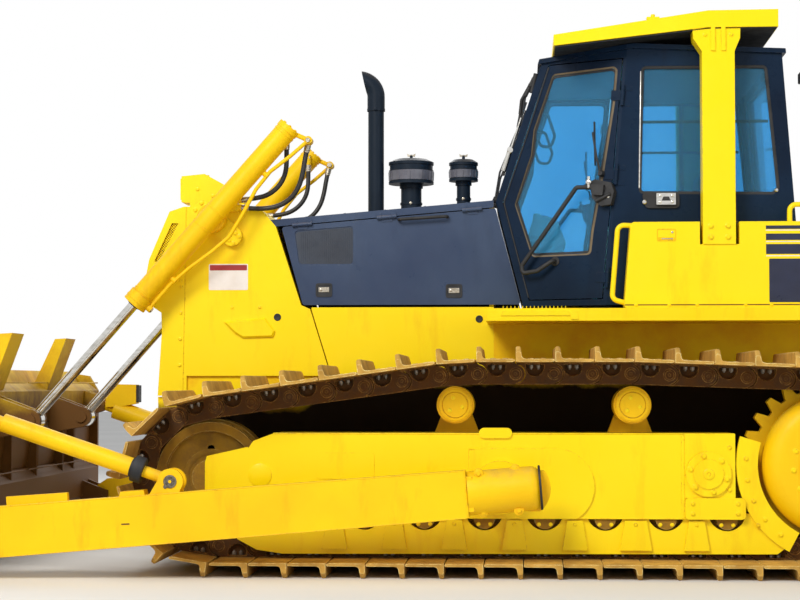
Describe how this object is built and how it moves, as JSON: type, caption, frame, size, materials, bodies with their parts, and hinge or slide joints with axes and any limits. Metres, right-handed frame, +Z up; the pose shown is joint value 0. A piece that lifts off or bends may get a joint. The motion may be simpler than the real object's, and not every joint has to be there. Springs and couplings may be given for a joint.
{
  "type": "crawler dozer",
  "caption": "Crawler bulldozer on wide low-ground-pressure tracks with straight tilt blade, lift cylinders, hexagonal cab and rollover canopy.",
  "frame": {"origin": "centre of the bounding box's footprint on the ground, under the grouser tips", "axes": "+X forward towards the blade, +Y to the machine's left, +Z up"},
  "size_m": [5.487, 3.97, 3.04],
  "materials": {
    "yellow_paint": "gloss",
    "cab_blue": "gloss",
    "hood_grey": "satin",
    "track_steel": "worn",
    "yellow_iron": "painted, worn",
    "rod_chrome": "polished",
    "edge_steel": "worn",
    "stack_black": "satin",
    "engine_iron": "matte",
    "tinted_glass": "clear",
    "seat_fabric": "woven",
    "cab_plastic": "matte",
    "hose_rubber": "matte"
  },
  "bodies": {
    "chassis": {"track_left": "track_steel", "track_right": "track_steel", "track_frame_left": "yellow_paint", "track_frame_right": "yellow_paint", "idlers": "track_steel", "sprockets": "yellow_iron", "track_rollers": "yellow_iron", "carrier_rollers": "yellow_paint", "main_frame": "yellow_paint", "engine_block": "engine_iron", "radiator_guard": "yellow_paint", "front_grille": "yellow_paint", "engine_hood": "hood_grey", "hull_sides": "yellow_paint", "cab_shell": "cab_blue", "cab_windows": "tinted_glass", "operator_seat": "seat_fabric", "consoles": "cab_plastic", "rops_frame": "yellow_paint", "fenders": "yellow_paint", "side_boxes": "yellow_paint", "fuel_tank": "yellow_paint", "exhaust_stack": "stack_black", "precleaners": "stack_black", "head_lamps": "yellow_paint", "head_hose_left": "hose_rubber", "head_hose_right": "hose_rubber", "gland_hose_left": "hose_rubber", "gland_hose_right": "hose_rubber"},
    "blade_group": {"push_arm_left": "yellow_paint", "push_arm_right": "yellow_paint", "blade": "yellow_paint", "cutting_edges": "edge_steel", "blade_brace": "yellow_paint", "tilt_cylinder": "yellow_paint"},
    "lift_barrel_left": {"lift_barrel_left": "yellow_paint"},
    "lift_barrel_right": {"lift_barrel_right": "yellow_paint"},
    "lift_rod_left": {"lift_rod_left": "rod_chrome"},
    "lift_rod_right": {"lift_rod_right": "rod_chrome"},
    "engine_door_left": {"engine_door_left": "hood_grey"},
    "engine_door_right": {"engine_door_right": "hood_grey"},
    "cab_door_left": {"cab_door_left": "cab_blue", "cab_door_glass_left": "tinted_glass"},
    "cab_door_right": {"cab_door_right": "cab_blue", "cab_door_glass_right": "tinted_glass"}
  },
  "joints": [
    {"name": "blade_lift", "type": "hinge", "parent": "chassis", "child": "blade_group", "pos_m": [-0.415, 0, 0.46], "axis": [0, -1, 0], "range_deg": [-7.5, 19]},
    {"name": "lift_barrel_left_swing", "type": "hinge", "parent": "chassis", "child": "lift_barrel_left", "pos_m": [1.225, 0.645, 1.942], "axis": [0, -1, 0], "range_deg": [-9.1, 22.9], "deforming": ["head_hose_left", "gland_hose_left"]},
    {"name": "lift_rod_left_stroke", "type": "slide", "parent": "lift_barrel_left", "child": "lift_rod_left", "axis": [0.6614, 0, -0.75], "range_m": [-0.7287, 0.2883]},
    {"name": "lift_barrel_right_swing", "type": "hinge", "parent": "chassis", "child": "lift_barrel_right", "pos_m": [1.225, -0.645, 1.942], "axis": [0, -1, 0], "range_deg": [-9.1, 22.9], "deforming": ["head_hose_right", "gland_hose_right"]},
    {"name": "lift_rod_right_stroke", "type": "slide", "parent": "lift_barrel_right", "child": "lift_rod_right", "axis": [0.6614, 0, -0.75], "range_m": [-0.7287, 0.2883]},
    {"name": "engine_door_left_hinge", "type": "hinge", "parent": "chassis", "child": "engine_door_left", "pos_m": [0.236, 0.492, 1.95383], "axis": [0.9966, 0, -0.0822], "range_deg": [0, 78]},
    {"name": "cab_door_left_hinge", "type": "hinge", "parent": "chassis", "child": "cab_door_left", "pos_m": [-1.05047, 0.751, 2.13782], "axis": [-0.0861, 0, 0.9963], "range_deg": [0, 95]},
    {"name": "engine_door_right_hinge", "type": "hinge", "parent": "chassis", "child": "engine_door_right", "pos_m": [0.236, -0.492, 1.95383], "axis": [-0.9966, 0, 0.0822], "range_deg": [0, 78]},
    {"name": "cab_door_right_hinge", "type": "hinge", "parent": "chassis", "child": "cab_door_right", "pos_m": [-1.05047, -0.751, 2.13782], "axis": [0.0861, 0, -0.9963], "range_deg": [0, 95]}
  ],
  "couplings": [
    {"joint": "lift_barrel_left_swing", "follows": "blade_lift", "ratio": 1.2},
    {"joint": "lift_rod_left_stroke", "follows": "blade_lift", "m_per_rad": -2.1944},
    {"joint": "lift_barrel_right_swing", "follows": "blade_lift", "ratio": 1.2},
    {"joint": "lift_rod_right_stroke", "follows": "blade_lift", "m_per_rad": -2.1944}
  ]
}
